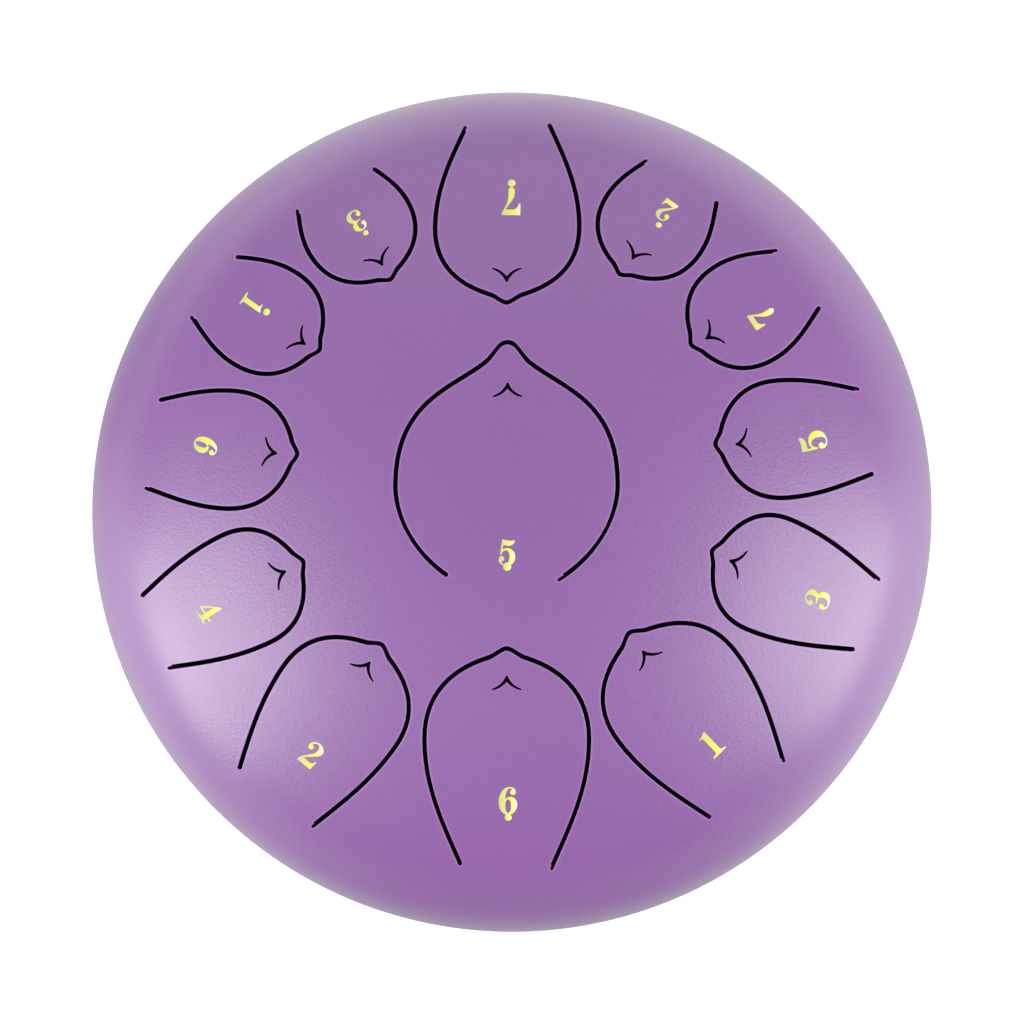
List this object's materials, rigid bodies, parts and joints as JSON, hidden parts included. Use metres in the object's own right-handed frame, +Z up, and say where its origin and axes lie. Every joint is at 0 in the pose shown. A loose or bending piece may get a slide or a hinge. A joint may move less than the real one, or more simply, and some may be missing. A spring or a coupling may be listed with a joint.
{
  "type": "tongue drum",
  "caption": "Domed steel tongue drum: two shells joined at the rim, petal-shaped tongues cut in the top, a sound hole in the flat base and rubber feet.",
  "frame": {"origin": "on the floor under the drum's centre, at the feet's treads", "axes": "+Z up along the drum's axis, -Y towards the player, +X to the player's right"},
  "size_m": [0.305, 0.305, 0.1624],
  "materials": {
    "purple_paint": "satin sprayed paint with fine orange peel",
    "black_rubber": "matte moulded",
    "zinc_steel": "bright zinc plated",
    "grey_epoxy": "cured epoxy",
    "gold_foil": "pale gold foil numbers"
  },
  "bodies": {
    "shell": {"top_shell": "purple_paint", "bottom_shell": "purple_paint", "rim_bead": "grey_epoxy", "foot_1": "black_rubber", "foot_2": "black_rubber", "foot_3": "black_rubber", "foot_4": "black_rubber", "foot_screw_1": "zinc_steel", "foot_screw_2": "zinc_steel", "foot_screw_3": "zinc_steel", "foot_screw_4": "zinc_steel", "foot_washer_1": "zinc_steel", "foot_washer_2": "zinc_steel", "foot_washer_3": "zinc_steel", "foot_washer_4": "zinc_steel", "nut_washer_1": "zinc_steel", "nut_washer_2": "zinc_steel", "nut_washer_3": "zinc_steel", "nut_washer_4": "zinc_steel", "nut_1": "zinc_steel", "nut_2": "zinc_steel", "nut_3": "zinc_steel", "nut_4": "zinc_steel"},
    "blade_low_5": {"tongue_low_5": "purple_paint"},
    "blade_low_6": {"tongue_low_6": "purple_paint"},
    "blade_low_7": {"tongue_low_7": "purple_paint"},
    "blade_1": {"tongue_1": "purple_paint"},
    "blade_2": {"tongue_2": "purple_paint"},
    "blade_3": {"tongue_3": "purple_paint"},
    "blade_4": {"tongue_4": "purple_paint"},
    "blade_5": {"tongue_5": "purple_paint"},
    "blade_6": {"tongue_6": "purple_paint"},
    "blade_7": {"tongue_7": "purple_paint"},
    "blade_high_1": {"tongue_high_1": "purple_paint"},
    "blade_high_2": {"tongue_high_2": "purple_paint"},
    "blade_high_3": {"tongue_high_3": "purple_paint"}
  },
  "joints": [
    {"name": "low_5_bend", "type": "hinge", "parent": "shell", "child": "blade_low_5", "pos_m": [-0.0018, -0.02294, 0.1605], "axis": [-1, 0, 0], "range_deg": [-0.57, 0.57], "stiffness_Nm_per_rad": 160},
    {"name": "low_6_bend", "type": "hinge", "parent": "shell", "child": "blade_low_6", "pos_m": [-0.0018, -0.1255, 0.13134], "axis": [-1, 0, 0], "range_deg": [-0.53, 0.53], "stiffness_Nm_per_rad": 199},
    {"name": "low_7_bend", "type": "hinge", "parent": "shell", "child": "blade_low_7", "pos_m": [-0.0018, 0.138, 0.12073], "axis": [1, 0, 0], "range_deg": [-0.57, 0.57], "stiffness_Nm_per_rad": 143},
    {"name": "1_bend", "type": "hinge", "parent": "shell", "child": "blade_1", "pos_m": [0.08314, -0.09841, 0.12912], "axis": [-0.7997, -0.6004, 0], "range_deg": [-0.49, 0.49], "stiffness_Nm_per_rad": 192},
    {"name": "2_bend", "type": "hinge", "parent": "shell", "child": "blade_2", "pos_m": [-0.08379, -0.10089, 0.12735], "axis": [-0.8191, 0.5736, 0], "range_deg": [-0.46, 0.46], "stiffness_Nm_per_rad": 205},
    {"name": "3_bend", "type": "hinge", "parent": "shell", "child": "blade_3", "pos_m": [0.12563, -0.0363, 0.12765], "axis": [-0.3778, -0.9259, 0], "range_deg": [-0.45, 0.45], "stiffness_Nm_per_rad": 165},
    {"name": "4_bend", "type": "hinge", "parent": "shell", "child": "blade_4", "pos_m": [-0.12683, -0.04232, 0.12514], "axis": [-0.4226, 0.9063, 0], "range_deg": [-0.44, 0.44], "stiffness_Nm_per_rad": 177},
    {"name": "5_bend", "type": "hinge", "parent": "shell", "child": "blade_5", "pos_m": [0.12551, 0.02869, 0.12918], "axis": [0.0889, -0.996, 0], "range_deg": [-0.42, 0.42], "stiffness_Nm_per_rad": 164},
    {"name": "6_bend", "type": "hinge", "parent": "shell", "child": "blade_6", "pos_m": [-0.12745, 0.02442, 0.12842], "axis": [0.0819, 0.9966, 0], "range_deg": [-0.39, 0.39], "stiffness_Nm_per_rad": 180},
    {"name": "7_bend", "type": "hinge", "parent": "shell", "child": "blade_7", "pos_m": [0.10107, 0.08271, 0.12778], "axis": [0.5373, -0.8434, 0], "range_deg": [-0.4, 0.4], "stiffness_Nm_per_rad": 141},
    {"name": "high_1_bend", "type": "hinge", "parent": "shell", "child": "blade_high_1", "pos_m": [-0.10585, 0.08042, 0.12584], "axis": [0.5344, 0.8453, 0], "range_deg": [-0.38, 0.38], "stiffness_Nm_per_rad": 160},
    {"name": "high_2_bend", "type": "hinge", "parent": "shell", "child": "blade_high_2", "pos_m": [0.05979, 0.11731, 0.12691], "axis": [0.8387, -0.5446, 0], "range_deg": [-0.38, 0.38], "stiffness_Nm_per_rad": 140},
    {"name": "high_3_bend", "type": "hinge", "parent": "shell", "child": "blade_high_3", "pos_m": [-0.0624, 0.11445, 0.12797], "axis": [0.8643, 0.503, 0], "range_deg": [-0.36, 0.36], "stiffness_Nm_per_rad": 143}
  ]
}
